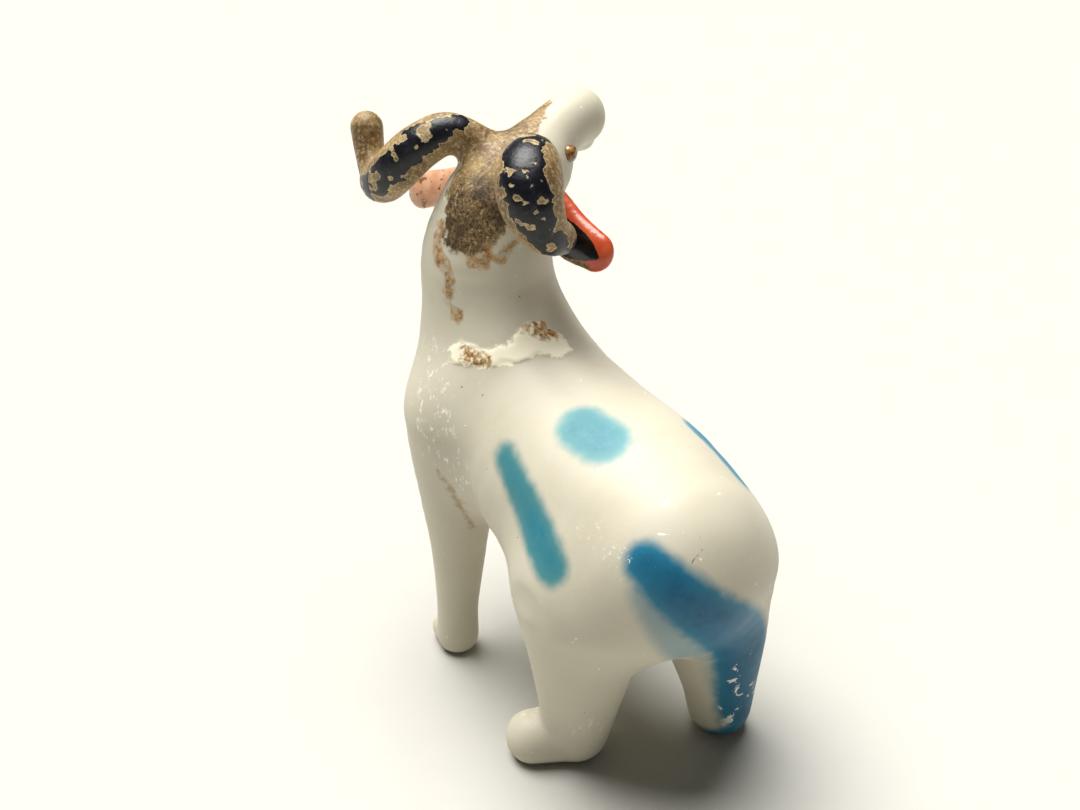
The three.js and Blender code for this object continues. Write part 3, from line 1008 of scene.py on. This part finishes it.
def ear_glass(name, glow, deep, blotch, blotch_share):
    """Orange glass with gold at its root, and on the right ear a leaf brushed in black."""
    finish = Finish(name, Coat_Weight=0.3, Coat_Roughness=0.12, IOR=1.5)
    set_scatter(finish, (1.0, 0.6, 0.4), 0.8)
    finish.surface.inputs["Subsurface Weight"].default_value = 0.1
    colour = finish.mix(finish.fade(finish.noise(2.2, 4), 0.35, 0.65), glow, deep)
    spots = finish.fade(finish.noise(1.3, 6, 0.65), 1.0 - blotch_share, 1.03 - blotch_share)
    colour = finish.mix(spots, colour, blotch)
    colour = finish.mix(finish.inside("ear_brown", 0.4, 0.8, 0.3), colour, EAR_BROWN)
    colour = finish.mix(finish.inside("ear_gold", 0.8, 1.0, 0.15), colour, gold_paint(finish))
    colour = finish.mix(finish.inside("gilt", 0.8, 1.0, 0.15), colour, gold_paint(finish))
    leaf = finish.inside("leaf", 0.12, 0.8, 0.05)
    colour = finish.mix(leaf, colour, LEAF_BLACK)
    roughness = finish.mix_value(leaf, 0.28, 0.2)
    height = finish.plus(finish.noise(0.6, 4), finish.times(leaf, 0.5))
    return finish.finish(colour, roughness, height, 0.15)


def amber():
    finish = Finish("amber", Coat_Weight=0.4, Coat_Roughness=0.08, IOR=1.5)
    cloud = finish.fade(finish.noise(0.7, 5, 0.65), 0.38, 0.62)
    colour = finish.mix(cloud, AMBER_DARK, AMBER)
    return finish.finish(colour, 0.25, finish.noise(0.3, 4), 0.15)


def paper():
    finish = Finish("paper")
    colour = finish.mix(finish.noise(6.0, 4), PAPER_DARK, PAPER)
    return finish.finish(colour, 0.85, finish.noise(1.0, 5), 0.05)


# ---------------------------------------------------------------- the pieces
def add_skin_pieces():
    white = white_glass()
    horn = horn_paint()
    finishes = {
        "left_horn": (horn, "horn_glass"),
        "right_horn": (horn, "horn_glass"),
        "left_ear": (ear_glass(*EARS["left_ear"]), "ear_glass"),
        "right_ear": (ear_glass(*EARS["right_ear"]), "ear_glass"),
    }
    for name in HOSTS:
        material, slot = finishes.get(name, (white, "white_glass"))
        add_piece("glass_" + name, division.host_piece(name), material, name)


def add_blues():
    materials = {name: blue_glass(*look) for name, look in BLUES.items()}
    for name, material in materials.items():
        add_piece("glass_" + name, division.ink_piece(name), material, name)


def add_eyes():
    """Two small beads of amber glass, a little flattened against the head."""
    material = amber()
    for name, side in (("left_eye", 1), ("right_eye", -1)):
        middle = head_point(EYE[0], EYE[1] * side, EYE[2])
        out = Vector(HEAD_LEFT * side)
        shape = bmesh.new()
        bmesh.ops.create_icosphere(shape, subdivisions=5, radius=EYE_R)
        shift = Vector((5 * side, 0, 0))
        for vert in shape.verts:
            vert.co *= 1 + EYE_BUMPS * noise.fractal(vert.co / EYE_BUMP_SIZE + shift, *FRACTAL, 3)
            vert.co -= out * vert.co.dot(out) * EYE_FLATTENING
            vert.co = (vert.co + Vector(middle)) * MM
        mesh = bpy.data.meshes.new("bead_" + name)
        shape.to_mesh(mesh)
        shape.free()
        mesh.polygons.foreach_set("use_smooth", [True] * len(mesh.polygons))
        mesh.materials.append(material)
        bead = bpy.data.objects.new("bead_" + name, mesh)
        bpy.context.scene.collection.objects.link(bead)
        declare(bead, name)


add_skin_pieces()
add_blues()
add_eyes()

# ---------------------------------------------------------------- floor and light
FLOOR_SIZE = 4.0
SUN_FROM = Vector((0.0, -0.36, 1.0))
SUN_STRENGTH = 6.4
SUN_SPREAD = math.radians(48)
SUN_COLOUR = (1.0, 0.985, 0.95)
SKY_STRENGTH = 0.07
SKY_COLOUR = (1.0, 0.98, 0.94, 1.0)


def add_floor():
    mesh = bpy.data.meshes.new("floor")
    half = FLOOR_SIZE / 2
    corners = [(-half, -half, 0), (half, -half, 0), (half, half, 0), (-half, half, 0)]
    mesh.from_pydata(corners, [], [(0, 1, 2, 3)])
    mesh.materials.append(paper())
    floor = bpy.data.objects.new("floor", mesh)
    bpy.context.scene.collection.objects.link(floor)


def add_light():
    sun = bpy.data.lights.new("sun", "SUN")
    sun.energy = SUN_STRENGTH
    sun.angle = SUN_SPREAD
    sun.color = SUN_COLOUR
    lamp = bpy.data.objects.new("sun", sun)
    lamp.rotation_euler = SUN_FROM.to_track_quat("Z", "Y").to_euler()
    bpy.context.scene.collection.objects.link(lamp)
    world = bpy.data.worlds.new("sky")
    world.use_nodes = True
    sky = world.node_tree.nodes["Background"]
    sky.inputs["Color"].default_value = SKY_COLOUR
    sky.inputs["Strength"].default_value = SKY_STRENGTH
    bpy.context.scene.world = world
    bpy.context.scene.view_settings.view_transform = "Standard"


add_floor()
add_light()
